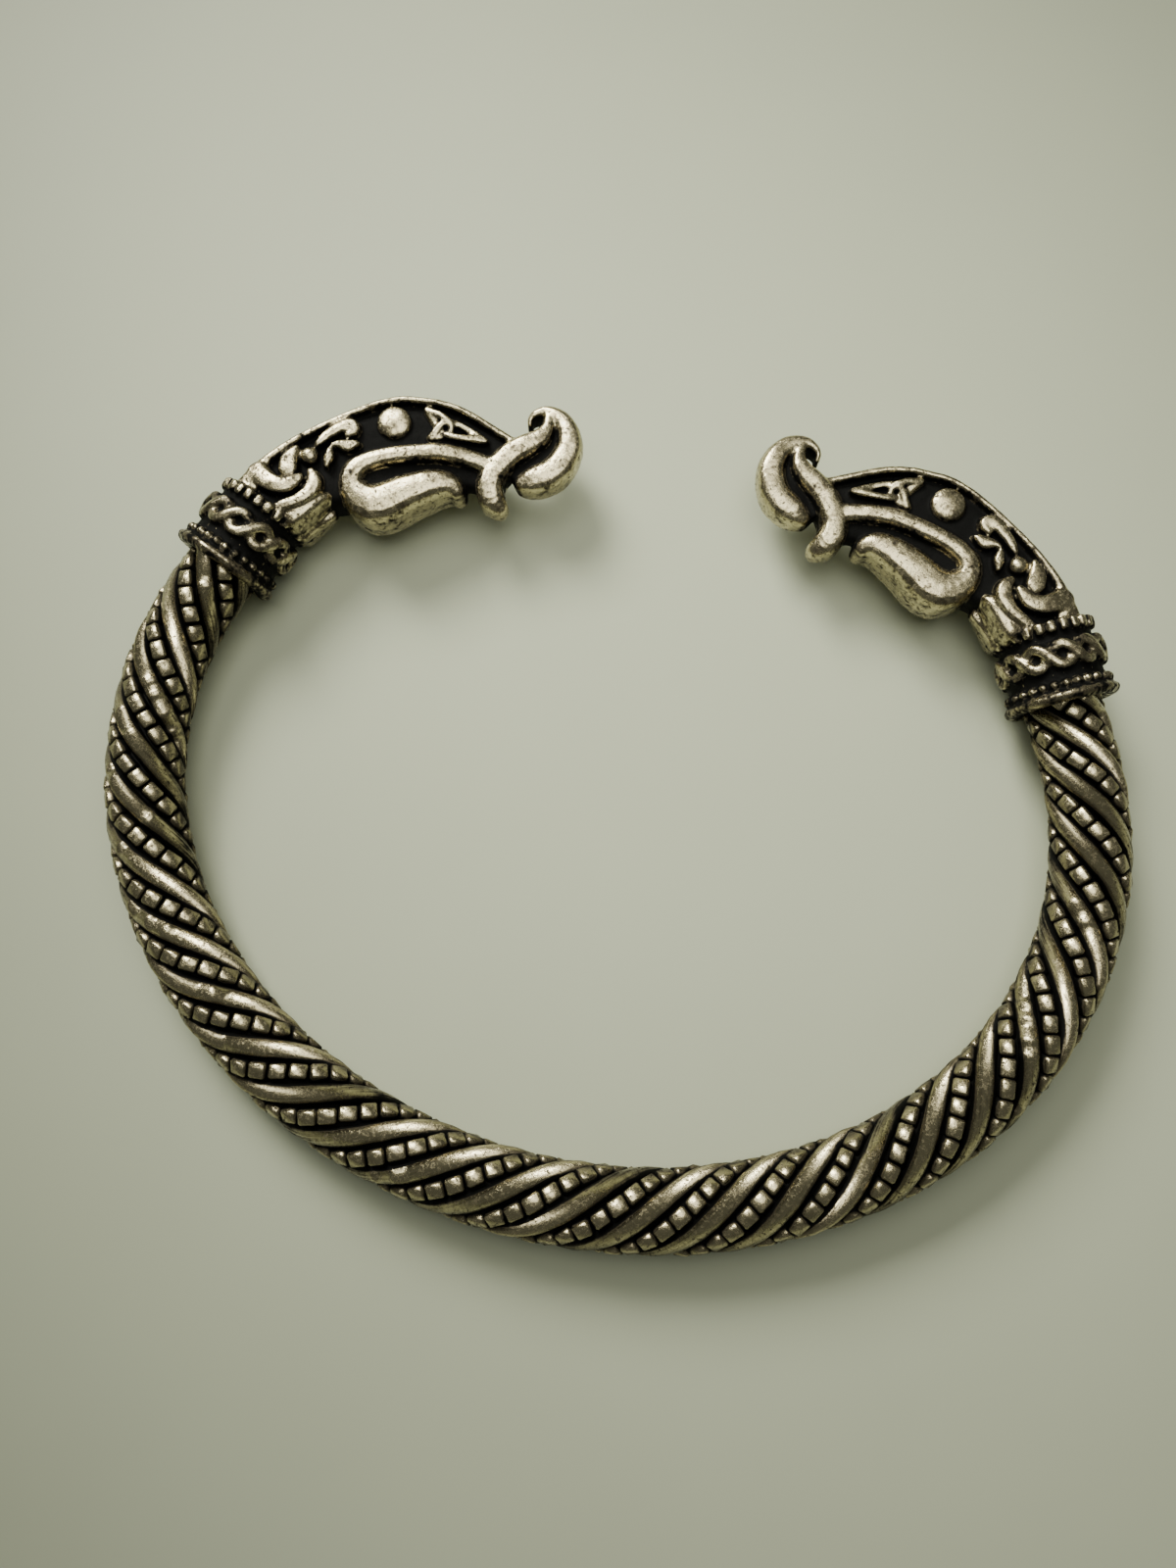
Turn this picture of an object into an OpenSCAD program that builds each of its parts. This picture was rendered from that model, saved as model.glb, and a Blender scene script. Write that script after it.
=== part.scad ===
// Open arm ring of twisted strands, with a cast beast's head at each end.
// It lies flat: X is its width, Y points from the back to the gap between the heads, Z is up.
// The origin is under the middle of its outline, on the surface that it lies on.

/* [Hoop] */
// Width of the ellipse that the hoop's centreline follows, side to side
hoop_w = 73.9; // [66:0.1:84]
// Depth of that ellipse, back to front
hoop_d = 61.2; // [54:0.1:72]
// Diameter over the strands in the middle of the back
back_dia = 6.24; // [5.6:0.02:7]
// Diameter over the strands where they run into the collars
end_dia = 5.88; // [5.4:0.02:6.2]
// Ellipse angle from the middle of the back to the left end
left_arc = 108; // [103:0.5:112]
// Ellipse angle from the middle of the back to the right end
right_arc = 112.5; // [107:0.5:116]
// Straight stretch of hoop between the ellipse and the left collar
left_straight = 1.1; // [0.6:0.1:4]
// Straight stretch of hoop between the ellipse and the right collar
right_straight = 3.3; // [1:0.1:6]

/* [Strands] */
// Number of plain strands, each followed by a beaded one
strands = 4; // [3:1:5]
// Length of hoop in which a strand winds once round it, at the back
back_lead = 21.6; // [17:0.1:27]
// Length of hoop in which a strand winds once round it, at the collars
end_lead = 18.5; // [15:0.1:24]
// Depth of the grooves between the strands
groove = 0.8; // [0.4:0.05:1.1]
// Turn of the strands about the hoop's centreline
strand_turn = 4; // [-45:1:45]

/* [Collars] */
// Length of a collar, from its lip to the head's neck
collar_len = 6.5; // [5.5:0.1:8]
// Diameter over the flared lip that overhangs the hoop
lip_dia = 8.7; // [8.3:0.05:9.4]
// Diameter over the plait
plait_dia = 8.4; // [8.1:0.05:9]
// Diameter over the row of square beads
row_dia = 7.9; // [7.7:0.05:8.4]
// Diameter at the bottom of the grooves round the collar
core_dia = 7.1; // [6.9:0.05:7.4]
// Number of square beads in the row next to the neck
square_beads = 20; // [12:1:24]
// Number of places where the plait's two strands cross
crossings = 12; // [8:2:16]
// Play between the hoop and its socket in the collar
fit_gap = 0.08; // [0.05:0.01:0.15]

/* [Heads] */
// Length of a head, from the collar to the far side of the curled snout
head_len = 20; // [17:0.1:23]
// Thickness of a head over its jaw
head_t = 4.8; // [4.2:0.1:5.6]
// Diameter of the round eye
eye_dia = 2.7; // [2:0.1:3]

/* [Hidden] */

LEFT = -1;
RIGHT = 1;
half_w = hoop_w / 2;
half_d = hoop_d / 2;
back_r = back_dia / 2;
end_r = end_dia / 2;
lip_r = lip_dia / 2;

// The hoop ends in a tenon that fits a socket in the collar, under the overhanging lip
lip_over = 0.18 * collar_len;
tenon_len = 0.5 * collar_len;
tenon_r = 0.74 * end_r;

// Where each end lies in the ring's own plane: the edge of the lip, and the way the head points
function unit(v) = v / norm(v);
function arc_of(side) = side == LEFT ? left_arc : right_arc;
function straight_of(side) = side == LEFT ? left_straight : right_straight;
function on_ellipse(a) = [half_w * sin(a), -half_d * cos(a)];
function along_ellipse(a) = unit([half_w * cos(a), half_d * sin(a)]);
function end_dir(side) = side * along_ellipse(side * arc_of(side));
function end_point(side) = on_ellipse(side * arc_of(side)) + straight_of(side) * end_dir(side);

// The ring rests on its lips and on the middle of its back, so it leans a little
lip_y = min(end_point(LEFT)[1], end_point(RIGHT)[1]);
lean = asin((lip_r - back_r) / (lip_y + half_d));
mid_z = back_r + half_d * sin(lean);

// The heads' tables are in millimetres, for a head of this length and thickness
TABLE_LEN = 20;
TABLE_T = 4.8;
part_xy = head_len / TABLE_LEN;
part_z = head_t / TABLE_T;
SNOUT_TOP = [19.92, -14.4];
snout_y = end_point(RIGHT)[1] + (collar_len + SNOUT_TOP[0] * part_xy) * end_dir(RIGHT)[1]
    - SNOUT_TOP[1] * part_xy * end_dir(RIGHT)[0];
mid_y = (half_d + back_r - snout_y) / 2;

// Smooth curve through the rows of a table, whatever its columns hold
function blend(a, b, c, d, t) =
    (2 * b + (c - a) * t + (2 * a - 5 * b + 4 * c - d) * t * t + (3 * b - a - 3 * c + d) * t * t * t) / 2;
function spline(rows, n) = [
    for (i = [0 : len(rows) - 2])
        for (k = [0 : n - 1])
            blend(rows[max(i - 1, 0)], rows[i], rows[i + 1], rows[min(i + 2, len(rows) - 1)], k / n),
    rows[len(rows) - 1]
];

// Solid through rings of points, capped at its ends or closed on itself
module loft(rings, closed = false) {
    n = len(rings[0]);
    m = len(rings);
    last = (m - 1) * n;
    polyhedron(
        points = [for (ring = rings) each ring],
        faces = [
            for (j = [0 : closed ? m - 1 : m - 2])
                for (k = [0 : n - 1])
                    let (a = j * n, b = ((j + 1) % m) * n, next = (k + 1) % n)
                        each [[a + k, a + next, b + k], [a + next, b + next, b + k]],
            if (!closed)
                for (k = [1 : n - 2])
                    each [[0, k + 1, k], [last, last + k, last + k + 1]]
        ]
    );
}

// Section of a plain strand and the beaded one after it: share of their turn, share of the groove's depth
STRAND_SECTION = [
    [0.00, 1.00],
    [0.15, 0.05],
    [0.39, 0.05],
    [0.54, 1.00],
    [0.65, 0.30],
    [0.89, 0.30]
];
SECTION_POINTS = len(STRAND_SECTION);
HOOP_RINGS = 88;

// Ellipse angles of the rings, the way that the hoop runs at each, and how far along it they lie
ring_angles = [for (i = [0 : HOOP_RINGS]) -left_arc + (left_arc + right_arc) * i / HOOP_RINGS];
ring_points = [for (a = ring_angles) on_ellipse(a)];
steps = [for (i = [0 : HOOP_RINGS]) i == 0 ? 0 : norm(ring_points[i] - ring_points[i - 1])];
function running(v) = [for (i = 0, s = 0; i < len(v); s = s + v[i], i = i + 1) s + v[i]];
run_len = running(steps);
back_len = lookup(0, [for (i = [0 : HOOP_RINGS]) [ring_angles[i], run_len[i]]]);

module in_place() {
    translate([0, mid_y, mid_z]) rotate([lean, 0, 0]) children();
}

// Radius and twist of the strands at a distance from the middle of the back
function half_len(d) = d < 0
    ? back_len + left_straight + lip_over
    : run_len[HOOP_RINGS] - back_len + right_straight + lip_over;
function strand_r(d) = back_r + (end_r - back_r) * pow(d / half_len(d), 2);
function twist(d) =
    let (tight = (back_lead - end_lead) / end_lead / 3)
        strand_turn + 360 * d / back_lead * (1 + tight * pow(d / half_len(d), 2));

// Ring of the strands' section, or of the round tenon, across the hoop's centreline
function cross_ring(p, dir, turn, radii) = [
    for (i = [0 : len(radii) - 1])
        let (
            pair = floor(i / SECTION_POINTS),
            a = turn + 360 / strands * (pair + STRAND_SECTION[i % SECTION_POINTS][0])
        )
            [p[0] + radii[i] * cos(a) * dir[1], p[1] - radii[i] * cos(a) * dir[0], radii[i] * sin(a)]
];
function strand_radii(d) = [
    for (i = [0 : SECTION_POINTS * strands - 1])
        strand_r(d) - groove * STRAND_SECTION[i % SECTION_POINTS][1]
];
function tenon_radii() = [for (i = [0 : SECTION_POINTS * strands - 1]) tenon_r];

// Point, direction and distance from the middle of the back, beyond the ellipse's end
function tail(side, x) = [end_point(side) + x * end_dir(side), side * end_dir(side),
    side * (half_len(side) - lip_over + x)];

module hoop() {
    shoulder = lip_over - fit_gap;
    far_end = shoulder + tenon_len;
    left_seat = tail(LEFT, shoulder);
    right_seat = tail(RIGHT, shoulder);
    left_tip = tail(LEFT, far_end);
    right_tip = tail(RIGHT, far_end);
    color("silver") in_place() loft([
        cross_ring(left_tip[0], left_tip[1], twist(left_seat[2]), tenon_radii()),
        cross_ring(left_seat[0], left_seat[1], twist(left_seat[2]), tenon_radii()),
        cross_ring(left_seat[0], left_seat[1], twist(left_seat[2]), strand_radii(left_seat[2])),
        for (i = [0 : HOOP_RINGS])
            let (d = run_len[i] - back_len, a = ring_angles[i])
                cross_ring(on_ellipse(a), along_ellipse(a), twist(d), strand_radii(d)),
        cross_ring(right_seat[0], right_seat[1], twist(right_seat[2]), strand_radii(right_seat[2])),
        cross_ring(right_seat[0], right_seat[1], twist(right_seat[2]), tenon_radii()),
        cross_ring(right_tip[0], right_tip[1], twist(right_seat[2]), tenon_radii())
    ]);
}

// Collar's outline: share of its length, radius
WALL = 0.35;
PLAIT_RISE = 0.35;
BEAD_RISE = 0.3;
LIP_ROUND = 0.3;
COLLAR_SIDES = 20;
mouth_r = end_r + fit_gap;
plait_seat = plait_dia / 2 - PLAIT_RISE;
row_seat = row_dia / 2 - BEAD_RISE;
core_r = core_dia / 2;
COLLAR = [
    [0.00, mouth_r + WALL],
    [0.04, lip_r - LIP_ROUND],
    [0.09, lip_r],
    [0.15, lip_r],
    [0.19, lip_r - LIP_ROUND],
    [0.25, lip_r - 1.5 * LIP_ROUND],
    [0.29, core_r],
    [0.39, core_r],
    [0.42, plait_seat],
    [0.73, plait_seat],
    [0.76, core_r],
    [0.84, core_r],
    [0.86, row_seat],
    [1.00, row_seat]
];

module collar() {
    difference() {
        rotate([0, 90, 0]) rotate_extrude($fn = COLLAR_SIDES) polygon([
            [0, 0],
            for (row = COLLAR) [row[1], row[0] * collar_len],
            [0, collar_len]
        ]);
        rotate([0, 90, 0]) cylinder(h = 2 * lip_over, r = mouth_r, center = true, $fn = COLLAR_SIDES);
        rotate([0, 90, 0])
            cylinder(h = lip_over + tenon_len + fit_gap, r = tenon_r + fit_gap, $fn = COLLAR_SIDES);
    }
    plait();
    for (i = [0 : square_beads - 1]) rotate([360 / square_beads * i, 0, 0]) square_bead();
}

// Square bead: where it sits along the collar and how long it is, as shares of the collar's length
BEAD_AT = 0.925;
BEAD_LEN = 0.123;
module square_bead() {
    wide = 0.7 * row_dia * sin(180 / square_beads);
    tall = 1.6 * BEAD_RISE;
    translate([BEAD_AT * collar_len, 0, (row_dia - tall) / 2])
        cube([BEAD_LEN * collar_len, wide, tall], center = true);
}

// Two strands that cross again and again round the collar: middle and sway, as shares of its length
PLAIT_AT = 0.575;
PLAIT_SWAY = 0.115;
PLAIT_DIP = 0.24;
PLAIT_STEPS = 2;
PLAIT_WIRE = 0.42;
module plait() {
    stations = PLAIT_STEPS * crossings;
    for (hand = [-1, 1])
        loft([for (i = [0 : stations - 1]) plait_ring(hand, 360 * i / stations)], closed = true);
}
function plait_ring(hand, a) =
    let (
        wave = a * crossings / 2 + 45,
        x = collar_len * (PLAIT_AT + PLAIT_SWAY * hand * sin(wave)),
        top = plait_dia / 2 - PLAIT_DIP * (1 - hand * cos(wave)) / 2,
        low = plait_seat - fit_gap
    ) [
        [x - PLAIT_WIRE, low * cos(a), low * sin(a)],
        [x, top * cos(a), top * sin(a)],
        [x + PLAIT_WIRE, low * cos(a), low * sin(a)]
    ];

// Sections of the sunken field, from the neck to the snout:
// outer edge along and across, inner edge along and across, half thickness, roundness
FIELD = [
    [-0.1, 2.7, -0.1, -3.3, 2.75, 0.9],
    [2.5, 1.9, 1.9, -3.9, 2.35, 0.6],
    [5.5, 0.9, 3.5, -5.6, 2.0, 0.5],
    [8.4, -0.4, 5.0, -7.2, 1.8, 0.4],
    [10.9, -2.1, 6.7, -8.2, 1.6, 0.4],
    [13.0, -4.4, 8.3, -9.3, 1.5, 0.4],
    [14.3, -6.9, 9.4, -10.4, 1.4, 0.4],
    [14.9, -9.4, 9.9, -11.8, 1.3, 0.4],
    [15.1, -11.8, 10.4, -13.0, 1.2, 0.4],
    [15.1, -13.8, 10.8, -14.2, 1.1, 0.4]
];
FIELD_SIDES = 8;
function field_ring(row) = [
    for (k = [0 : FIELD_SIDES - 1])
        let (
            a = -360 * k / FIELD_SIDES,
            middle = [row[0] + row[2], row[1] + row[3]] / 2,
            reach = [row[0] - row[2], row[1] - row[3]] / 2,
            p = part_xy * (middle + reach * cos(a))
        ) [p[0], p[1], part_z * row[4] * sign(sin(a)) * pow(abs(sin(a)), row[5])]
];

// Ridges and ornament, in both faces at once: along, across, half width, half thickness.
// A crest and a jaw frame the field, and scrolls, a leaf and a seed fill it.
CREST = [
    [-0.3, 1.75, 0.65, 2.9],
    [2.5, 1.4, 0.60, 2.8],
    [5.4, 0.6, 0.45, 2.5],
    [8.3, -0.75, 0.42, 2.2],
    [10.8, -2.25, 0.42, 2.05],
    [12.9, -4.05, 0.42, 1.9],
    [14.15, -6.1, 0.40, 1.85],
    [14.9, -8.0, 0.40, 1.75],
    [15.2, -10.4, 0.40, 1.6],
    [15.3, -13.4, 0.36, 1.4]
];
JAWS = [
    [12.6, -12.8, 0.66, 1.7],
    [11.9, -10.7, 0.70, 2.0],
    [10.6, -8.4, 0.72, 2.25],
    [9.0, -6.5, 0.74, 2.35],
    [7.5, -5.15, 0.80, 2.4],
    [6.2, -4.5, 0.95, 2.4],
    [4.9, -5.1, 1.15, 2.4],
    [4.6, -6.5, 1.45, 2.4],
    [5.4, -8.0, 1.60, 2.4],
    [7.0, -9.1, 1.40, 2.3],
    [8.5, -10.3, 1.15, 2.2],
    [9.35, -11.3, 0.85, 1.9],
    [9.3, -12.3, 0.55, 1.5]
];
FANG_AND_LIP = [
    [10.3, -15.5, 0.50, 1.1],
    [10.5, -14.7, 0.75, 1.5],
    [11.2, -14.0, 0.82, 1.75],
    [12.5, -13.6, 0.84, 1.8],
    [13.9, -13.7, 0.84, 1.8],
    [15.3, -14.3, 0.84, 1.8],
    [16.8, -15.0, 0.68, 1.7],
    [18.0, -15.0, 0.50, 1.5],
    [18.8, -14.3, 0.38, 1.3]
];
SNOUT_CURL = [
    [13.0, -16.1, 0.60, 1.2],
    [14.0, -16.95, 0.85, 1.5],
    [15.6, -17.5, 0.88, 1.6],
    [17.2, -17.35, 0.84, 1.6],
    [18.7, -16.4, 0.74, 1.5],
    [19.3, -14.7, 0.62, 1.4],
    [18.9, -13.6, 0.45, 1.2],
    [18.0, -13.2, 0.34, 1.0],
    [17.3, -13.5, 0.24, 0.8]
];
SNOUT_WEB = [
    [12.9, -15.0, 0.7, 0.8],
    [14.3, -15.8, 0.8, 0.9],
    [16.0, -16.3, 0.8, 0.9],
    [17.6, -16.0, 0.7, 0.8],
    [18.5, -15.2, 0.5, 0.7]
];
REAR_SCROLL = [
    [1.3, 1.1, 0.85, 3.0],
    [1.28, 0.0, 0.72, 3.3],
    [1.5, -1.0, 0.62, 3.3],
    [2.3, -1.65, 0.46, 3.15],
    [3.1, -1.8, 0.26, 3.0]
];
FRONT_SCROLL = [
    [-0.1, -1.8, 0.40, 3.1],
    [0.9, -2.45, 0.48, 3.2],
    [2.2, -3.05, 0.58, 3.05],
    [3.4, -2.8, 0.55, 2.95],
    [3.9, -2.1, 0.33, 2.8]
];
DROP = [
    [3.0, -0.45, 0.65, 3.0],
    [3.7, -0.1, 0.60, 2.9],
    [4.7, 0.0, 0.25, 2.7]
];
HOOK = [
    [6.0, -1.15, 0.26, 2.65],
    [7.2, -1.35, 0.40, 2.55],
    [8.4, -1.75, 0.45, 2.4],
    [8.95, -2.25, 0.48, 2.35],
    [8.6, -2.65, 0.40, 2.3],
    [8.0, -2.5, 0.26, 2.3]
];
LEAF = [
    [6.8, -2.2, 0.25, 2.6],
    [7.3, -3.05, 0.48, 2.5],
    [7.9, -3.7, 0.20, 2.4]
];
SEED = [
    [5.2, -2.75, 0.36, 2.6],
    [6.0, -2.35, 0.36, 2.6]
];
KNOT_BALL = [4.9, -1.05, 2.25];
KNOT_BALL_R = 0.68;
EYE = [11.15, -4.75, 1.5];
EYE_FLAT = 0.5;
EYE_SIDES = 12;

// Ring across a ridge, with its two tops rounded off
LEAST_WALL = 0.05;
function wall_ring(row, across) =
    let (
        w = row[2] * part_xy,
        h = row[3] * part_z,
        p = [row[0], row[1]] * part_xy,
        low = max(h - 0.8 * w, LEAST_WALL)
    ) [
        each [for (q = [[w, low], [0.6 * w, h - 0.1 * w], [-0.6 * w, h - 0.1 * w], [-w, low]])
            [p[0] + q[0] * across[0], p[1] + q[0] * across[1], q[1]]],
        each [for (q = [[-w, low], [-0.6 * w, h - 0.1 * w], [0.6 * w, h - 0.1 * w], [w, low]])
            [p[0] + q[0] * across[0], p[1] + q[0] * across[1], -q[1]]]
    ];

// Ridge that follows a table's rows, standing out of both faces
module ridge(rows, n) {
    way = spline(rows, n);
    last = len(way) - 1;
    loft([
        for (i = [0 : last])
            let (d = way[min(i + 1, last)] - way[max(i - 1, 0)], run = unit([d[0], d[1]]))
                wall_ring(way[i], [run[1], -run[0]])
    ]);
}

// Knot work and scrolls, built up of short bars with round ends
BAR_SIDES = 6;
LOOP_SIDES = 4;
module bars(rows, sides) {
    for (i = [0 : len(rows) - 2])
        hull()
            for (row = [rows[i], rows[i + 1]])
                translate([row[0] * part_xy, row[1] * part_xy, 0])
                    cylinder(h = 2 * row[3] * part_z, r = row[2] * part_xy, center = true, $fn = sides);
}

// Three pointed loops round one middle: the way that each points, and its length
KNOT_MIDDLE = [13.35, -8.75];
LOOP_WIDE = 0.5;
LOOP_WIRE = 0.2;
LOOP_T = 1.8;
KNOT_LOOPS = [
    [91, 2.2],
    [147, 1.7],
    [283, 2.9]
];
LOOP_STEPS = 4;
module three_loops() {
    for (row = KNOT_LOOPS)
        bars([
            for (i = [0 : LOOP_STEPS])
                let (
                    a = 180 * i / LOOP_STEPS,
                    along = row[1] * sin(a),
                    across = LOOP_WIDE * cos(a),
                    x = KNOT_MIDDLE[0] + along * cos(row[0]) - across * sin(row[0]),
                    y = KNOT_MIDDLE[1] + along * sin(row[0]) + across * cos(row[0])
                )
                    [x, y, LOOP_WIRE, LOOP_T]
        ], LOOP_SIDES);
}

module both_faces() {
    children();
    mirror([0, 0, 1]) children();
}

module beast() {
    loft([for (row = FIELD) field_ring(row)]);
    for (rows = [CREST, FANG_AND_LIP, SNOUT_CURL, SNOUT_WEB]) ridge(rows, 1);
    ridge(JAWS, 2);
    for (rows = [REAR_SCROLL, FRONT_SCROLL, DROP, HOOK, LEAF, SEED]) bars(rows, BAR_SIDES);
    three_loops();
    both_faces() {
        translate([EYE[0] * part_xy, EYE[1] * part_xy, EYE[2] * part_z])
            scale([1, 1, EYE_FLAT]) sphere(d = eye_dia, $fn = EYE_SIDES);
        translate([KNOT_BALL[0] * part_xy, KNOT_BALL[1] * part_xy, KNOT_BALL[2] * part_z])
            sphere(r = KNOT_BALL_R * part_xy, $fn = BAR_SIDES);
    }
}

// The collar and the beast are cast in one. The left head is drawn and the right one mirrors it.
module head(side) {
    color("silver") in_place()
        translate([end_point(side)[0], end_point(side)[1], 0])
            rotate([0, 0, atan2(end_dir(side)[1], end_dir(side)[0])])
                mirror([0, side == LEFT ? 0 : 1, 0])
                    union() {
                        collar();
                        translate([collar_len, 0, 0]) beast();
                    }
}

module left_head() { head(LEFT); }
module right_head() { head(RIGHT); }

hoop();
left_head();
right_head();
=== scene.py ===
import math
import random

import bmesh
import bpy
from mathutils import Matrix, Vector, noise
from mathutils.bvhtree import BVHTree
from mathutils.kdtree import KDTree


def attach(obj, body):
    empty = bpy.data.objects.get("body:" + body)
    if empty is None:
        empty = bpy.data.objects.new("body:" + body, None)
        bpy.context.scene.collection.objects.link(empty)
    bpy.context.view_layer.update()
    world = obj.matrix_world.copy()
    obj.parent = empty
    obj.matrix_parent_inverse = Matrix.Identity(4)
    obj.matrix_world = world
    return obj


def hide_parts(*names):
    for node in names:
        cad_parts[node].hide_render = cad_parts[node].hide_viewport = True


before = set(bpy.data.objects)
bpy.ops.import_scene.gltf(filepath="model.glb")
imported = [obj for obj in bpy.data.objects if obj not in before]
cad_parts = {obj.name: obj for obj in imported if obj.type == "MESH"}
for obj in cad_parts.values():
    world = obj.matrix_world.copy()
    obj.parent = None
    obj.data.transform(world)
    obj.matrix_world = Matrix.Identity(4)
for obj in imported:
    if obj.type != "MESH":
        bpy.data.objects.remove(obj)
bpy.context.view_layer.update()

bl_info = {
    "name": "Antiqued arm ring",
    "version": (1, 0, 0),
    "blender": (4, 5, 0),
    "location": "3D View > Sidebar > Arm ring",
    "description": "Strands, bead rows, collars and beast's heads of a cast open arm ring",
    "category": "Add Mesh",
}

LEFT = -1
RIGHT = 1
MM = 0.001


def metres(name, default, description):
    """Property of a length"""
    return bpy.props.FloatProperty(
        name=name, default=default, description=description, unit="LENGTH"
    )


def hex_colour(name, default, place):
    """Property of the colour of a place"""
    return bpy.props.StringProperty(
        name=name, default=default, description="sRGB hex of the " + place
    )


class RingSizes(bpy.types.PropertyGroup):
    """Sizes of the ring, as in its solids"""

    hoop_w: metres("Hoop width", 0.0739, "Width of the ellipse under the hoop's centreline")
    hoop_d: metres("Hoop depth", 0.0612, "Depth of that ellipse, back to front")
    back_dia: metres("Back diameter", 0.00624, "Diameter over the strands at the back")
    end_dia: metres("End diameter", 0.00588, "Diameter over the strands at the collars")
    left_arc: bpy.props.FloatProperty(
        name="Left arc", default=108.0, description="Ellipse angle from the back to the left end"
    )
    right_arc: bpy.props.FloatProperty(
        name="Right arc", default=112.5, description="Ellipse angle from the back to the right end"
    )
    left_straight: metres("Left straight", 0.0011, "Straight stretch before the left collar")
    right_straight: metres("Right straight", 0.0033, "Straight stretch before the right collar")
    back_lead: metres(
        "Lead at the back", 0.0216, "Hoop length of one turn of a strand, at the back"
    )
    end_lead: metres(
        "Lead at the ends", 0.0185, "Hoop length of one turn of a strand, at the collars"
    )
    strands: bpy.props.IntProperty(
        name="Strands", default=4, description="Plain strands, each followed by a beaded one"
    )
    strand_turn: bpy.props.FloatProperty(
        name="Strand turn", default=4.0,
        description="Turn of the strands about the centreline, in degrees",
    )
    bead_pitch: metres("Bead pitch", 0.0016, "Distance from bead to bead along a strand")


class CollarSizes(bpy.types.PropertyGroup):
    """Sizes of the collars and heads"""

    collar_len: metres("Collar length", 0.0065, "From the lip to the head's neck")
    lip_dia: metres("Lip diameter", 0.0087, "Over the flared lip")
    plait_dia: metres("Plait diameter", 0.0084, "Over the plait")
    row_dia: metres("Bead row diameter", 0.0079, "Over the row of square beads")
    core_dia: metres("Groove diameter", 0.0071, "At the bottom of the collar's grooves")
    square_beads: bpy.props.IntProperty(
        name="Square beads", default=25, description="Beads in the row next to the neck"
    )
    lip_beads: bpy.props.IntProperty(
        name="Lip beads", default=28, description="Round beads behind the lip"
    )
    crossings: bpy.props.IntProperty(
        name="Crossings", default=12, description="Places where the plait's two strands cross"
    )
    head_len: metres("Head length", 0.020, "From the collar to the curled snout")
    head_t: metres("Head thickness", 0.0048, "Over the jaw")
    voxel: bpy.props.FloatProperty(
        name="Cast detail", default=0.00012, unit="LENGTH", precision=5,
        description="Size of the finest form in the head castings",
    )


class FinishColours(bpy.types.PropertyGroup):
    """Colours of the finish and of the stage"""

    silver: hex_colour("Worn silver", "#C6BB98", "rubbed high places")
    tarnish: hex_colour("Tarnish", "#68604E", "yellowed silver between high and low")
    patina: hex_colour("Patina", "#060605", "black in the recesses")
    floor: hex_colour("Floor", "#BBC1A8", "pale surface")


# Head that its tables are drawn for: length, thickness, and the point of the snout that
# reaches furthest, along and across
TABLE_LEN = 20
TABLE_T = 4.8
SNOUT_TIP = (19.92, 14.4)
# Share of the collar's length that the hoop goes on behind the lip's edge
LIP_OVER = 0.18
# Steps of the table of lengths, and of the places that depths are measured from
COURSE_STEPS = 2400
DEPTH_STEPS = 240
DEPTH_OVERRUN = 1
# Half the length over which a strand's direction is measured
AIM_REACH = 0.02
UP = Vector((0, 0, 1))


def mm(value):
    """Metres to the millimetres that the pieces are drawn in"""
    return value / MM


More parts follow.
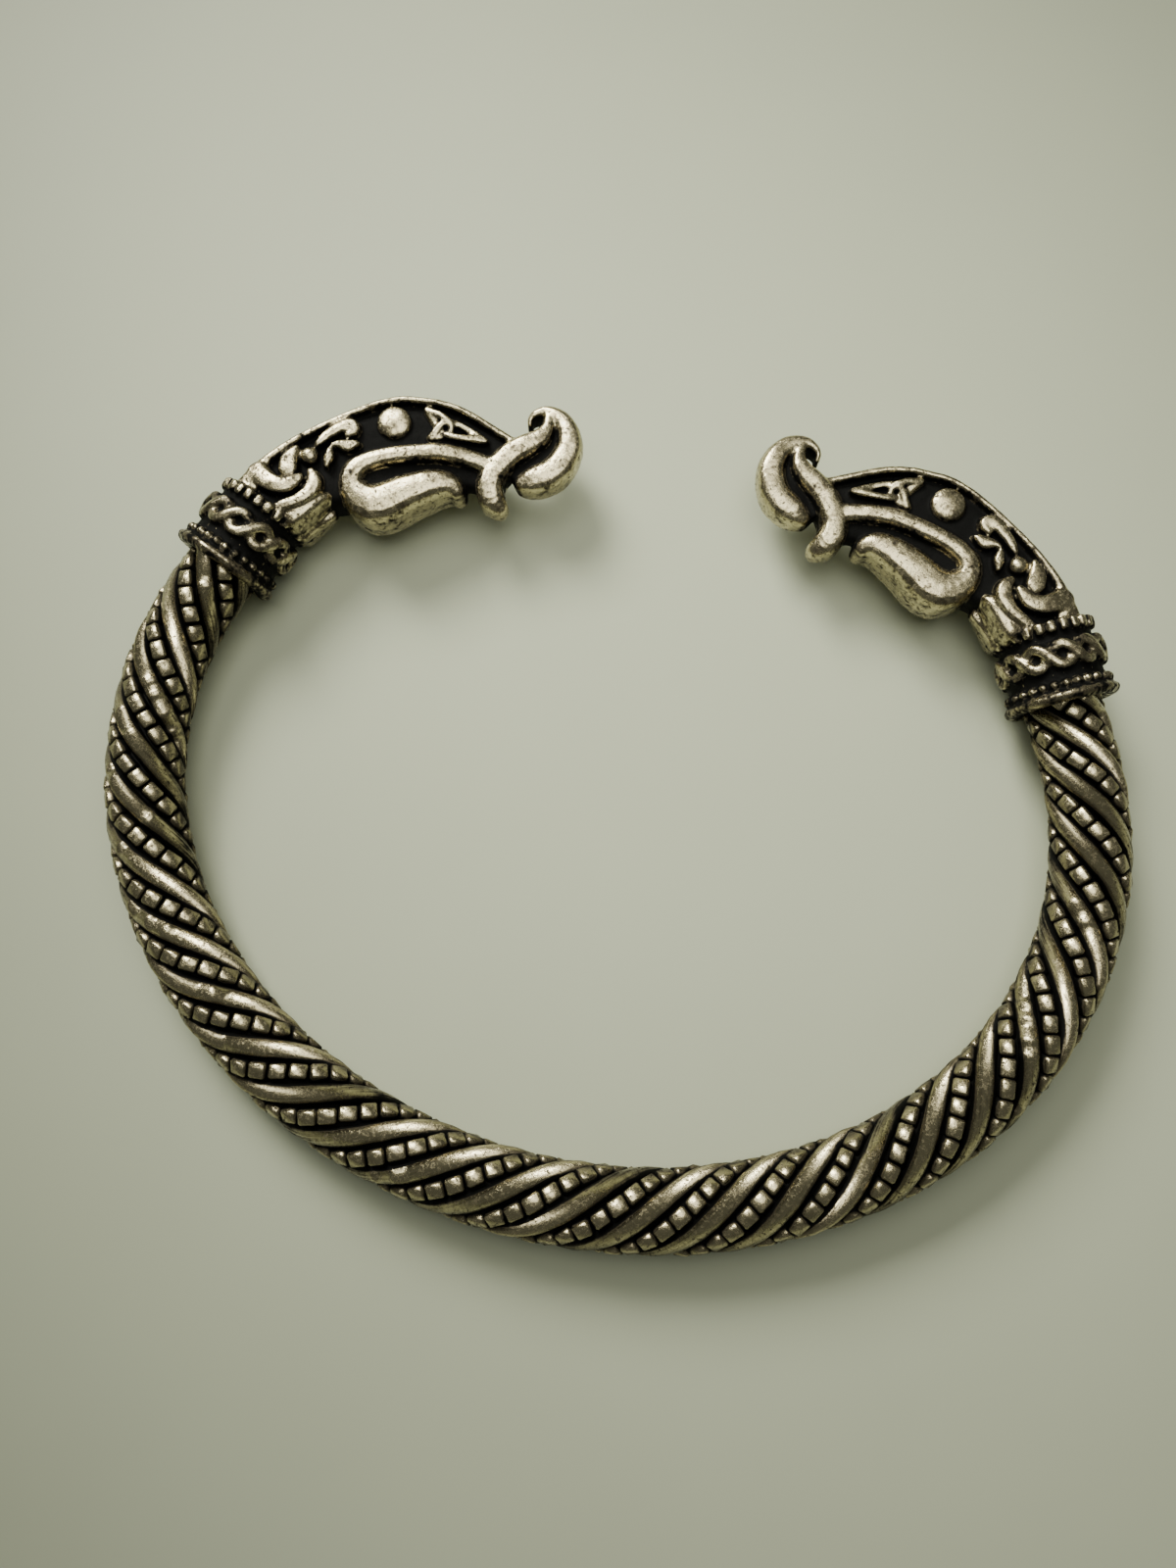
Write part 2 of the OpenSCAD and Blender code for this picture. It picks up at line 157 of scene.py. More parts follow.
class Course:
    """Where the hoop runs, in millimetres in the ring's own plane, and how it lies on the floor"""

    def __init__(self, sizes, collar):
        self.half_w = mm(sizes.hoop_w) / 2
        self.half_d = mm(sizes.hoop_d) / 2
        self.back_r = mm(sizes.back_dia) / 2
        self.end_r = mm(sizes.end_dia) / 2
        self.lip_r = mm(collar.lip_dia) / 2
        self.arcs = {LEFT: sizes.left_arc, RIGHT: sizes.right_arc}
        self.straights = {LEFT: mm(sizes.left_straight), RIGHT: mm(sizes.right_straight)}
        self.lead = mm(sizes.back_lead)
        # twist() then turns by 360 in the end's lead, where its slope is 1 + 3 * tight
        self.tight = (sizes.back_lead - sizes.end_lead) / sizes.end_lead / 3
        self.turn = sizes.strand_turn
        self.lip_over = LIP_OVER * mm(collar.collar_len)
        self.part_xy = mm(collar.head_len) / TABLE_LEN
        self.part_z = mm(collar.head_t) / TABLE_T
        self.measure()
        lip_y = min(self.end(LEFT)[0].y, self.end(RIGHT)[0].y)
        lean = math.asin((self.lip_r - self.back_r) / (lip_y + self.half_d))
        mid_z = self.back_r + self.half_d * math.sin(lean)
        tip, way = self.end(RIGHT)
        reach = mm(collar.collar_len) + SNOUT_TIP[0] * self.part_xy
        snout_y = tip.y + reach * way.y + SNOUT_TIP[1] * self.part_xy * way.x
        mid_y = (self.half_d + self.back_r - snout_y) / 2
        self.place = Matrix.Translation((0, mid_y, mid_z)) @ Matrix.Rotation(lean, 4, "X")

    def on_ellipse(self, angle):
        a = math.radians(angle)
        return Vector((self.half_w * math.sin(a), -self.half_d * math.cos(a), 0))

    def along_ellipse(self, angle):
        a = math.radians(angle)
        return Vector((self.half_w * math.cos(a), self.half_d * math.sin(a), 0)).normalized()

    def end(self, side):
        """Middle of a lip's edge, and the way that the head points"""
        way = self.along_ellipse(side * self.arcs[side]) * side
        return self.on_ellipse(side * self.arcs[side]) + self.straights[side] * way, way

    def measure(self):
        """Table of ellipse angle against length of hoop from the middle of the back"""
        low = -self.arcs[LEFT]
        high = self.arcs[RIGHT]
        angles = [low + (high - low) * i / COURSE_STEPS for i in range(COURSE_STEPS + 1)]
        points = [self.on_ellipse(a) for a in angles]
        run = [0.0]
        for a, b in zip(points, points[1:]):
            run.append(run[-1] + (b - a).length)
        i = next(i for i in range(COURSE_STEPS) if angles[i + 1] > 0)
        back = run[i] + (run[i + 1] - run[i]) * -angles[i] / (angles[i + 1] - angles[i])
        self.angles = angles
        self.run = [r - back for r in run]
        self.halves = {
            LEFT: back + self.straights[LEFT] + self.lip_over,
            RIGHT: run[-1] - back + self.straights[RIGHT] + self.lip_over,
        }
        low = -self.halves[LEFT] - DEPTH_OVERRUN
        span = self.halves[RIGHT] + DEPTH_OVERRUN - low
        stops = [low + span * i / DEPTH_STEPS for i in range(DEPTH_STEPS + 1)]
        self.stops = [(*self.at(d), self.radius(d)) for d in stops]
        self.near = KDTree(len(stops))
        for i, (p, _, _) in enumerate(self.stops):
            self.near.insert(p, i)
        self.near.balance()

    def at(self, d):
        """Point of the centreline and its direction, at a length from the middle of the back"""
        if d < self.run[0]:
            way = self.along_ellipse(self.angles[0])
            return self.on_ellipse(self.angles[0]) + way * (d - self.run[0]), way
        if d > self.run[-1]:
            way = self.along_ellipse(self.angles[-1])
            return self.on_ellipse(self.angles[-1]) + way * (d - self.run[-1]), way
        low = 0
        high = len(self.run) - 1
        while high - low > 1:
            middle = (low + high) // 2
            if self.run[middle] > d:
                high = middle
            else:
                low = middle
        t = (d - self.run[low]) / (self.run[high] - self.run[low])
        a = self.angles[low] + t * (self.angles[high] - self.angles[low])
        return self.on_ellipse(a), self.along_ellipse(a)

    def depth(self, point):
        """How deep a point lies under the hoop's round outline"""
        p, way, r = self.stops[self.near.find(point)[1]]
        off = point - p
        return r - (off - way * off.dot(way)).length

    def share(self, d):
        """Length from the middle of the back, as a share of that side's half"""
        return d / self.halves[LEFT if d < 0 else RIGHT]

    def radius(self, d):
        """Radius over the strands"""
        return self.back_r + (self.end_r - self.back_r) * min(self.share(d) ** 2, 1)

    def twist(self, d):
        """Degrees that the strands have turned round the centreline"""
        return self.turn + 360 * d / self.lead * (1 + self.tight * self.share(d) ** 2)

    def on_strand(self, d, phase, sink):
        """Point under the strand's crest, its direction and the outward normal"""
        def point(at):
            p, way = self.at(at)
            a = math.radians(self.twist(at) + phase)
            out = Vector((way.y, -way.x, 0)) * math.cos(a) + UP * math.sin(a)
            return p + out * (self.radius(at) - sink), out
        here, out = point(d)
        ahead, _ = point(d + AIM_REACH)
        behind, _ = point(d - AIM_REACH)
        return here, (ahead - behind).normalized(), out

    def end_frame(self, side):
        """From a collar's own frame, with X along the head, to the ring's plane"""
        tip, way = self.end(side)
        turn = Matrix.Rotation(math.atan2(way.y, way.x), 4, "Z")
        flip = Matrix.Scale(-1, 4, (0, 1, 0)) if side == RIGHT else Matrix.Identity(4)
        return Matrix.Translation(tip) @ turn @ flip


def frame_at(point, across, along, up, half_w, half_t):
    """Matrix that sets the unit section at a point, half_w by half_t"""
    rows = Matrix((across * half_w, along, up * half_t)).transposed().to_4x4()
    return Matrix.Translation(point) @ rows


# How far the brushed lanes of the lower face are shifted against those of the upper one
LANE_SHIFT = 0.2


def add_section(bm, sides, power):
    """Unit ring across Y, round at power 2 and squarer above it"""
    ring = bmesh.ops.create_circle(
        bm, cap_ends=True, segments=sides, radius=1, matrix=Matrix.Rotation(math.pi / 2, 4, "X")
    )["verts"]
    for v in ring:
        v.co.x = math.copysign(abs(v.co.x) ** (2 / power), v.co.x)
        v.co.z = math.copysign(abs(v.co.z) ** (2 / power), v.co.z)
    return ring


def sweep(bm, places, sides, power=2.0):
    """Closed solid: the unit section, extruded from each place to the next.
    Each point keeps how far across and along it lies, for the brushed lines."""
    across = bm.verts.layers.float.get("across") or bm.verts.layers.float.new("across")
    along = bm.verts.layers.float.get("along") or bm.verts.layers.float.new("along")
    ring = add_section(bm, sides, power)
    for v in ring:
        v[across] = v.co.x + LANE_SHIFT * v.co.z
    bmesh.ops.transform(bm, matrix=places[0], verts=ring)
    cap = ring[0].link_faces[0]
    run = 0.0
    for before, place in zip(places, places[1:]):
        run += (place.translation - before.translation).length
        grown = bmesh.ops.extrude_face_region(bm, geom=[cap])["geom"]
        cap = next(g for g in grown if isinstance(g, bmesh.types.BMFace))
        for v in cap.verts:
            v[along] = run
        bmesh.ops.transform(bm, matrix=place @ before.inverted(), verts=cap.verts[:])


def smooth(p, q, r, s, t):
    """Value at a share t of the way from q to r, on a smooth curve from p to s"""
    square = (2 * p - 5 * q + 4 * r - s) * t * t
    cube = (3 * q - p - 3 * r + s) * t ** 3
    return (2 * q + (r - p) * t + square + cube) / 2


def blend_rows(rows, n):
    """Smooth curve through the rows of a table, n steps a row"""
    out = []
    for i in range(len(rows) - 1):
        a = rows[max(i - 1, 0)]
        b = rows[i]
        c = rows[i + 1]
        d = rows[min(i + 2, len(rows) - 1)]
        for k in range(n):
            t = k / n
            out.append([smooth(*four, t) for four in zip(a, b, c, d)])
    out.append(list(rows[-1]))
    return out


def mesh_of(bm, name):
    """Mesh of a finished bmesh, with its faces outward"""
    bmesh.ops.recalc_face_normals(bm, faces=bm.faces[:])
    mesh = bpy.data.meshes.new(name)
    bm.to_mesh(mesh)
    bm.free()
    return mesh


def add_object(name, data):
    """New object in the scene"""
    obj = bpy.data.objects.new(name, data)
    bpy.context.scene.collection.objects.link(obj)
    return obj


def add_piece(mesh, material, nodes):
    """Object of a mesh that is already in its place, riding on the ring"""
    for polygon in mesh.polygons:
        polygon.use_smooth = True
    obj = add_object(mesh.name, mesh)
    mesh.materials.append(material)
    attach(obj, "root")
    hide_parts(*nodes)


# Rays from each point, where they start off the skin, and how much less the furthest hit counts
RAYS = 12
RAY_START = 0.03
RAY_FADE = 0.5


def hemisphere():
    """Directions spread over the half space above Z, thicker towards Z"""
    golden = math.pi * (3 - math.sqrt(5))
    out = []
    for i in range(RAYS):
        z = math.sqrt(1 - (i + 0.5) / RAYS)
        r = math.sqrt(1 - z * z)
        out.append(Vector((r * math.cos(golden * i), r * math.sin(golden * i), z)))
    return out


def shelter(points, normals, tree, reach):
    """How far each point is shut in by what stands within reach of it, from 0 to 1"""
    ways = hemisphere()
    out = []
    for p, n in zip(points, normals):
        turn = n.to_track_quat("Z", "Y").to_matrix()
        start = p + n * RAY_START
        shut = 0.0
        for way in ways:
            far = tree.ray_cast(start, turn @ way, reach)[3]
            if far is not None:
                shut += 1 - RAY_FADE * far / reach
        out.append(shut / RAYS)
    return out


def store(mesh, name, values):
    """Keeps one value for each point of a mesh, for its material"""
    layer = mesh.attributes.new(name, "FLOAT", "POINT")
    layer.data.foreach_set("value", values)


# Tables of the head, in millimetres from the end of the collar
# Sections of the sunken field, from the neck to the snout:
# outer edge along and across, inner edge along and across, half thickness
FIELD = [
    (-0.3, 2.6, -0.3, -3.3, 2.6),
    (2.5, 1.8, 1.9, -3.9, 2.25),
    (5.5, 0.9, 3.5, -5.6, 1.9),
    (8.4, -0.4, 5.0, -7.2, 1.7),
    (10.9, -2.1, 6.7, -8.2, 1.5),
    (13.0, -4.4, 8.3, -9.3, 1.4),
    (14.3, -6.9, 9.4, -10.4, 1.3),
    (14.9, -9.4, 9.9, -11.8, 1.1),
    (15.1, -11.8, 10.4, -13.0, 1.0),
    (15.1, -13.8, 10.8, -14.2, 0.9),
]
# Ridges: along, across, half width, half thickness
CREST = [
    (-0.3, 1.75, 0.65, 2.95),
    (1.5, 1.55, 0.65, 2.9),
    (3.5, 1.2, 0.52, 2.7),
    (5.5, 0.56, 0.42, 2.5),
    (7.5, -0.34, 0.39, 2.25),
    (9.5, -1.43, 0.38, 2.1),
    (11.5, -2.72, 0.38, 2.0),
    (13.05, -4.15, 0.38, 1.9),
    (14.12, -5.97, 0.38, 1.85),
    (14.72, -7.3, 0.38, 1.8),
    (15.1, -8.8, 0.38, 1.7),
    (15.25, -10.4, 0.38, 1.6),
    (15.3, -12.1, 0.38, 1.5),
    (15.4, -13.5, 0.36, 1.4),
]
JAWS = [
    (12.6, -12.9, 0.80, 1.7),
    (11.95, -10.95, 0.86, 2.0),
    (11.25, -9.45, 0.88, 2.2),
    (10.33, -8.17, 0.88, 2.3),
    (9.32, -6.98, 0.88, 2.35),
    (8.32, -5.9, 0.90, 2.4),
    (7.25, -5.05, 0.95, 2.4),
    (6.2, -4.6, 1.05, 2.4),
    (5.05, -5.0, 1.15, 2.4),
    (4.6, -6.15, 1.5, 2.4),
    (4.75, -7.35, 1.75, 2.4),
    (5.7, -8.2, 1.72, 2.4),
    (6.9, -8.85, 1.6, 2.35),
    (8.0, -9.65, 1.45, 2.3),
    (8.95, -10.45, 1.25, 2.15),
    (9.5, -11.35, 1.0, 1.9),
    (9.4, -12.3, 0.65, 1.5),
]
FANG_AND_LIP = [
    (10.35, -15.5, 0.78, 1.1),
    (10.55, -14.8, 1.08, 1.5),
    (11.1, -14.1, 1.14, 1.75),
    (12.1, -13.7, 1.14, 1.8),
    (13.3, -13.7, 1.16, 1.8),
    (14.5, -13.95, 1.12, 1.8),
    (15.7, -14.5, 1.05, 1.75),
    (16.8, -15.05, 0.9, 1.65),
    (17.8, -15.05, 0.66, 1.5),
    (18.6, -14.65, 0.48, 1.35),
    (19.1, -14.0, 0.32, 1.2),
]
SNOUT_CURL = [
    (13.1, -16.0, 0.72, 1.2),
    (13.85, -16.65, 1.15, 1.5),
    (15.0, -17.4, 1.22, 1.6),
    (16.25, -17.6, 1.2, 1.6),
    (17.6, -17.35, 1.12, 1.6),
    (18.6, -16.55, 0.97, 1.5),
    (19.15, -15.4, 0.8, 1.4),
    (19.1, -14.35, 0.57, 1.3),
    (18.6, -13.65, 0.43, 1.2),
    (17.9, -13.4, 0.3, 1.05),
    (17.3, -13.7, 0.18, 0.9),
]
SNOUT_WEB = [
    (12.9, -15.0, 0.7, 0.8),
    (14.3, -15.8, 0.8, 0.9),
    (16.0, -16.3, 0.8, 0.9),
    (17.6, -16.0, 0.7, 0.8),
    (18.5, -15.2, 0.5, 0.7),
]
NECK_PLATE = [
    (0.1, -3.1, 1.0, 2.85),
    (1.3, -3.35, 1.0, 2.75),
    (2.3, -3.75, 0.75, 2.55),
    (3.0, -4.1, 0.45, 2.2),
]
NECK_ROD = [
    (-0.3, -3.7, 0.6, 0.6),
    (1.0, -4.0, 0.6, 0.6),
    (2.4, -4.6, 0.6, 0.6),
]
REAR_SCROLL = [
    (1.4, 1.15, 1.08, 3.0),
    (1.3, 0.4, 0.95, 3.25),
    (1.28, -0.4, 0.86, 3.35),
    (1.7, -1.22, 0.78, 3.3),
    (2.4, -1.65, 0.62, 3.15),
    (3.1, -1.8, 0.35, 3.0),
]
FRONT_SCROLL = [
    (-0.2, -1.75, 0.43, 3.1),
    (0.5, -2.2, 0.52, 3.2),
    (1.4, -2.8, 0.57, 3.15),
    (2.6, -3.08, 0.71, 3.0),
    (3.5, -2.75, 0.64, 2.95),
    (3.9, -2.1, 0.38, 2.8),
]
NECK_TOP = [
    (-0.1, 0.9, 0.95, 3.05),
    (0.9, 1.3, 0.95, 3.05),
    (1.8, 1.15, 0.9, 2.95),
]
DROP = [
    (3.05, -0.5, 0.85, 3.0),
    (3.55, -0.2, 0.82, 2.95),
    (4.15, -0.05, 0.58, 2.85),
    (4.85, 0.0, 0.26, 2.7),
]
HOOK = [
    (6.0, -1.15, 0.31, 2.65),
    (6.8, -1.25, 0.46, 2.6),
    (7.6, -1.45, 0.5, 2.5),
    (8.4, -1.75, 0.53, 2.4),
    (8.95, -2.25, 0.58, 2.35),
    (8.7, -2.7, 0.5, 2.3),
    (8.0, -2.5, 0.28, 2.3),
]
LEAF = [
    (6.7, -2.15, 0.17, 2.6),
    (7.1, -2.6, 0.42, 2.55),
    (7.3, -3.1, 0.58, 2.5),
    (7.7, -3.45, 0.42, 2.45),
    (8.0, -3.75, 0.17, 2.4),
]
SEED = [
    (5.0, -2.8, 0.24, 2.6),
    (5.7, -2.5, 0.47, 2.65),
    (6.3, -2.2, 0.24, 2.6),
]
RIDGES = (CREST, JAWS, FANG_AND_LIP, SNOUT_CURL, NECK_TOP, NECK_PLATE, NECK_ROD)
SCROLLS = (REAR_SCROLL, FRONT_SCROLL, DROP, HOOK, LEAF, SEED)
# Balls: along, across, height of the middle, radius, and height in shares of the radius
KNOT_BALL = (4.9, -1.15, 2.15, 0.76, 0.8)
EYE = (11.15, -4.8, 1.63, 1.36, 0.28)
# Three-cornered knot: its corners, its middle, and where each arc is pulled to: how far beside
# the middle, and how far towards it in shares of the distance
KNOT_TIPS = ((13.5, -6.35), (11.75, -7.95), (14.0, -11.7))
KNOT_MIDDLE = (13.3, -8.75)
KNOT_OPEN = 0.95
KNOT_PULL = 1.2
# Its strand: half width, mean half thickness, how much it rises and dips, and steps of an arc
KNOT_HALF_W = 0.30
KNOT_HALF_T = 1.74
KNOT_WEAVE = 0.14
KNOT_STEPS = 12
# Discs that the strokes are made of: flatness of the faces, and sides
RIDGE_DISC = (3.3, 18)
SCROLL_DISC = (6.0, 16)
KNOT_DISC = (9.0, 10)
DISC_RINGS = 8
# Steps between two rows of a stroke, and room between its discs in shares of their half width
STROKE_STEPS = 24
STROKE_ROOM = 0.36


def ridge_places(rows, course, steps, start):
    """Places of the unit section along a table's rows, both faces at once"""
    way = blend_rows(rows, steps)
    places = []
    for i, (x, y, w, h) in enumerate(way):
        a = way[max(i - 1, 0)]
        b = way[min(i + 1, len(way) - 1)]
        along = Vector((b[0] - a[0], b[1] - a[1], 0)).normalized()
        across = Vector((along.y, -along.x, 0))
        point = Vector((start + x * course.part_xy, y * course.part_xy, 0))
        half_w = w * course.part_xy
        places.append(frame_at(point, across, along, UP, half_w, h * course.part_z))
    return places


def unit_disc(power, sides):
    """Mesh of a disc with rounded edges, flatter on both faces the higher the power"""
    bm = bmesh.new()
    verts = bmesh.ops.create_uvsphere(
        bm, u_segments=sides, v_segments=DISC_RINGS, radius=1
    )["verts"]
    for v in verts:
        # the poles have no radius to divide by
        r = max(math.hypot(v.co.x, v.co.y), 1e-6)
        wide = r ** (2 / power) / r
        high = math.copysign(abs(v.co.z) ** (2 / power), v.co.z)
        v.co = (v.co.x * wide, v.co.y * wide, high)
    return mesh_of(bm, "disc")


def add_stroke(bm, rows, course, start, kind):
    """Stroke of close-set discs along a table's rows, both faces at once. It can turn sharply."""
    disc = unit_disc(*kind)
    last = None
    for x, y, w, h in blend_rows(rows, STROKE_STEPS):
        spot = Vector((start + x * course.part_xy, y * course.part_xy, 0))
        w *= course.part_xy
        if last is None or (spot - last).length > STROKE_ROOM * w:
            one = disc.copy()
            size = Matrix.Diagonal((w, w, h * course.part_z, 1))
            one.transform(Matrix.Translation(spot) @ size)
            bm.from_mesh(one)
            bpy.data.meshes.remove(one)
            last = spot
    bpy.data.meshes.remove(disc)


def add_ball(bm, spot, radius, flat, detail):
    """Ball, its height a share of its width"""
    place = Matrix.Translation(spot) @ Matrix.Diagonal((radius, radius, radius * flat, 1))
    bmesh.ops.create_icosphere(bm, subdivisions=detail, radius=1, matrix=place)


def add_relief(bm, course, collar):
    """Everything on the head that stands out and is rubbed bright"""
    start = mm(collar.collar_len)
    xy = course.part_xy
    for rows in RIDGES:
        add_stroke(bm, rows, course, start, RIDGE_DISC)
    for rows in SCROLLS:
        add_stroke(bm, rows, course, start, SCROLL_DISC)
    for i in range(3):
        add_stroke(bm, knot_rows(i), course, start, KNOT_DISC)
    for face in (1, -1):
        for x, y, z, r, flat in (EYE, KNOT_BALL):
            spot = (start + x * xy, y * xy, face * z * course.part_z)
            add_ball(bm, spot, r * xy, flat, detail=4)


def knot_rows(i):
    """Rows of one arc of the three-cornered knot, from a corner round the middle to the next"""
    middle = Vector(KNOT_MIDDLE)
    third = Vector(KNOT_TIPS[(i + 2) % 3]) - middle
    ends = [Vector(KNOT_TIPS[i]), Vector(KNOT_TIPS[(i + 1) % 3])]
    pulls = []
    for end in ends:
        inward = middle - end
        side = math.copysign(1, inward.x * third.y - inward.y * third.x)
        turn = Matrix.Rotation(side * math.asin(KNOT_OPEN / (KNOT_PULL * inward.length)), 2)
        pulls.append(end + KNOT_PULL * (turn @ inward))
    rows = []
    for k in range(KNOT_STEPS + 1):
        t = k / KNOT_STEPS
        u = 1 - t
        p = u ** 3 * ends[0] + 3 * u * u * t * pulls[0]
        p += 3 * u * t * t * pulls[1]
        p += t ** 3 * ends[1]
        half_t = KNOT_HALF_T + KNOT_WEAVE * math.sin(2 * math.pi * t)
        rows.append((p.x, p.y, KNOT_HALF_W, half_t))
    return rows


# Plait, in shares of the collar's length: middle and swing; in millimetres: depth of its middle
# under its diameter, rise over the other strand, half width and half thickness
PLAIT_MIDDLE = 0.577
PLAIT_SWING = 0.122
PLAIT_SINK = 0.52
PLAIT_RISE = 0.13
PLAIT_HALF_W = 0.43
PLAIT_HALF_T = 0.40
PLAIT_STEPS = 16
# Degrees of its wave that it begins at
PLAIT_START = 45
# Square beads: place in the collar's length, depth of their middle, half length, half height,
# share of the room round the collar that they fill, and how far they stray from their places
SQUARE_AT = 0.917
SQUARE_SINK = 0.41
SQUARE_HALF_L = 0.49
SQUARE_HALF_T = 0.38
SQUARE_FILL = 0.66
SQUARE_STRAY = 0.06
SQUARE_BEVEL = 0.2
# Round beads behind the lip: place, depth of their middle and radius
ROUND_AT = 0.235
ROUND_SINK = 0.58
ROUND_R = 0.37
# Radius inside the lip, play of the hoop in its socket, depth of the plait's and squares' seats
LIP_INNER = 3.2
SOCKET_PLAY = 0.08
PLAIT_SEAT = 0.55
SQUARE_SEAT = 0.5
LATHE_STEPS = 96


def around(x, radius, angle):
    """Point on a circle round the collar's axis, and its outward normal"""
    a = math.radians(angle)
    out = Vector((0, math.cos(a), math.sin(a)))
    return Vector((x, 0, 0)) + out * radius, out


def add_plait(bm, collar):
    """Two strands that pass over and under each other round the collar"""
    length = mm(collar.collar_len)
    middle_r = mm(collar.plait_dia) / 2 - PLAIT_SINK
    stations = PLAIT_STEPS * collar.crossings
    for hand in (-1, 1):
        places = []
        for i in range(stations + 1):
            angle = 360 * i / stations
            points = []
            for step in (-0.5, 0, 0.5):
                at = angle + step
                wave = math.radians(at * collar.crossings / 2 + PLAIT_START)
                x = length * (PLAIT_MIDDLE + PLAIT_SWING * hand * math.sin(wave))
                points.append(around(x, middle_r + PLAIT_RISE * hand * math.cos(wave), at))
            along = (points[2][0] - points[0][0]).normalized()
            point, out = points[1]
            across = along.cross(out)
            places.append(frame_at(point, across, along, out, PLAIT_HALF_W, PLAIT_HALF_T))
        sweep(bm, places, sides=12, power=2.8)


def add_square_beads(bm, collar):
    """Row of square beads next to the head's neck"""
    rng = random.Random(7)
    radius = mm(collar.row_dia) / 2
    half_w = SQUARE_FILL * math.pi * radius / collar.square_beads
    x = SQUARE_AT * mm(collar.collar_len)
    forward = Vector((1, 0, 0))
    for i in range(collar.square_beads):
        angle = 360 * (i + SQUARE_STRAY * rng.uniform(-1, 1)) / collar.square_beads
        point, out = around(x, radius - SQUARE_SINK, angle)
        place = frame_at(point, forward, forward.cross(out), out, SQUARE_HALF_L, SQUARE_HALF_T)
        place = place @ Matrix.Diagonal((2, 2 * half_w, 2, 1))
        cube = bmesh.ops.create_cube(bm, size=1, matrix=place)["verts"]
        edges = list({e for v in cube for e in v.link_edges})
        bmesh.ops.bevel(
            bm, geom=edges, offset=SQUARE_BEVEL, segments=2, profile=0.5, affect="EDGES",
            material=-1,
        )


def add_collar_relief(bm, course, collar):
    """The plait, the bead rows and the lip"""
    length = mm(collar.collar_len)
    add_plait(bm, collar)
    add_square_beads(bm, collar)
    for i in range(collar.lip_beads):
        angle = 360 * i / collar.lip_beads
        point, _ = around(ROUND_AT * length, course.lip_r - ROUND_SINK, angle)
        add_ball(bm, point, ROUND_R, flat=1.0, detail=2)
    # each row is a share of the collar's length, and a radius
    add_lathe(bm, [
        (0.05, LIP_INNER),
        (0.02, course.lip_r - 0.5),
        (0.05, course.lip_r - 0.16),
        (0.10, course.lip_r),
        (0.135, course.lip_r - 0.1),
        (0.16, course.lip_r - 0.35),
        (0.165, LIP_INNER),
    ], length)


def add_lathe(bm, rows, length):
    """Solid turned round the collar's axis. Rows that start on the axis need no edge to close
    them."""
    verts = [bm.verts.new((share * length, 0, radius)) for share, radius in rows]
    edges = [bm.edges.new(pair) for pair in zip(verts, verts[1:])]
    if rows[0][1] > 0:
        edges.append(bm.edges.new((verts[-1], verts[0])))
    bmesh.ops.spin(
        bm, geom=verts + edges, cent=(0, 0, 0), axis=(1, 0, 0), angle=2 * math.pi,
        steps=LATHE_STEPS, use_merge=True,
    )


def add_ground(bm, course, collar):
    """The body under the relief: collar core, sunken field and web of the snout"""
    length = mm(collar.collar_len)
    core_r = mm(collar.core_dia) / 2
    mouth_r = course.end_r + SOCKET_PLAY
    plait_seat = mm(collar.plait_dia) / 2 - PLAIT_SEAT
    square_seat = mm(collar.row_dia) / 2 - SQUARE_SEAT
    add_lathe(bm, [
        (0.16, 0.0),
        (0.16, mouth_r),
        (0.05, mouth_r + 0.1),
        (0.05, core_r + 0.2),
        (0.20, core_r + 0.25),
        (0.28, core_r),
        (0.39, core_r),
        (0.42, plait_seat),
        (0.73, plait_seat),
        (0.76, core_r - 0.1),
        (0.86, core_r - 0.1),
        (0.87, square_seat),
        (0.99, square_seat),
        (1.02, 0.0),
    ], length)
    places = []
    for x1, y1, x2, y2, h in blend_rows(FIELD, 4):
        middle = Vector(((x1 + x2) / 2, (y1 + y2) / 2, 0)) * course.part_xy
        middle += Vector((length, 0, 0))
        reach = Vector((x1 - x2, y1 - y2, 0)) * course.part_xy / 2
        along = Vector((-reach.y, reach.x, 0)).normalized()
        half_t = h * course.part_z
        places.append(frame_at(middle, reach.normalized(), along, UP, reach.length, half_t))
    sweep(bm, places, sides=28, power=4.0)
    sweep(bm, ridge_places(SNOUT_WEB, course, 4, length), sides=16, power=3.0)


# Rounds of smoothing that take the voxels' steps off a skin
SMOOTHINGS = 2


def cast(parts, voxel, name):
    """One skin over overlapping solids, as a casting has"""
    rough = bpy.data.meshes.new(name + "_parts")
    parts.to_mesh(rough)
    obj = add_object(name + "_parts", rough)
    remesh = obj.modifiers.new("skin", "REMESH")
    remesh.mode = "VOXEL"
    remesh.voxel_size = voxel
    remesh.use_smooth_shade = True
    shown = obj.evaluated_get(bpy.context.evaluated_depsgraph_get())
    skin = bpy.data.meshes.new_from_object(shown)
    bpy.data.objects.remove(obj)
    bpy.data.meshes.remove(rough)
    bm = bmesh.new()
    bm.from_mesh(skin)
    bpy.data.meshes.remove(skin)
    for _ in range(SMOOTHINGS):
        bmesh.ops.smooth_vert(
            bm, verts=bm.verts[:], factor=0.5, use_axis_x=True, use_axis_y=True, use_axis_z=True
        )
    return bm


# What each pattern adds to the level of patina: its gain, and an offset that keeps the mean
GRAIN_GAIN = (0.24, -0.115)
BLOTCH_GAIN = (0.4, -0.19)
BRUSHED_GAIN = (0.78, -0.385)
# Levels over which silver turns to tarnish, and to black
TARNISH_BAND = (0.04, 0.46)
BLACK_BAND = (0.30, 0.56)
# Values of the pit pattern from full pit to none, how black a pit is, and how much it lowers
PIT_BAND = (0.37, 0.45)
PIT_BLACK = 0.85
PIT_DEPTH = -0.6
# Roughness of the silver, from least to most, and of the patina
SILVER_ROUGH = (0.14, 0.36)
PATINA_ROUGH = 0.7
# Bump: height of the brushed lines against the grain's, strength, and depth in metres
BRUSHED_RISE = 1.2
BUMP = 0.45
BUMP_DEPTH = 0.00004
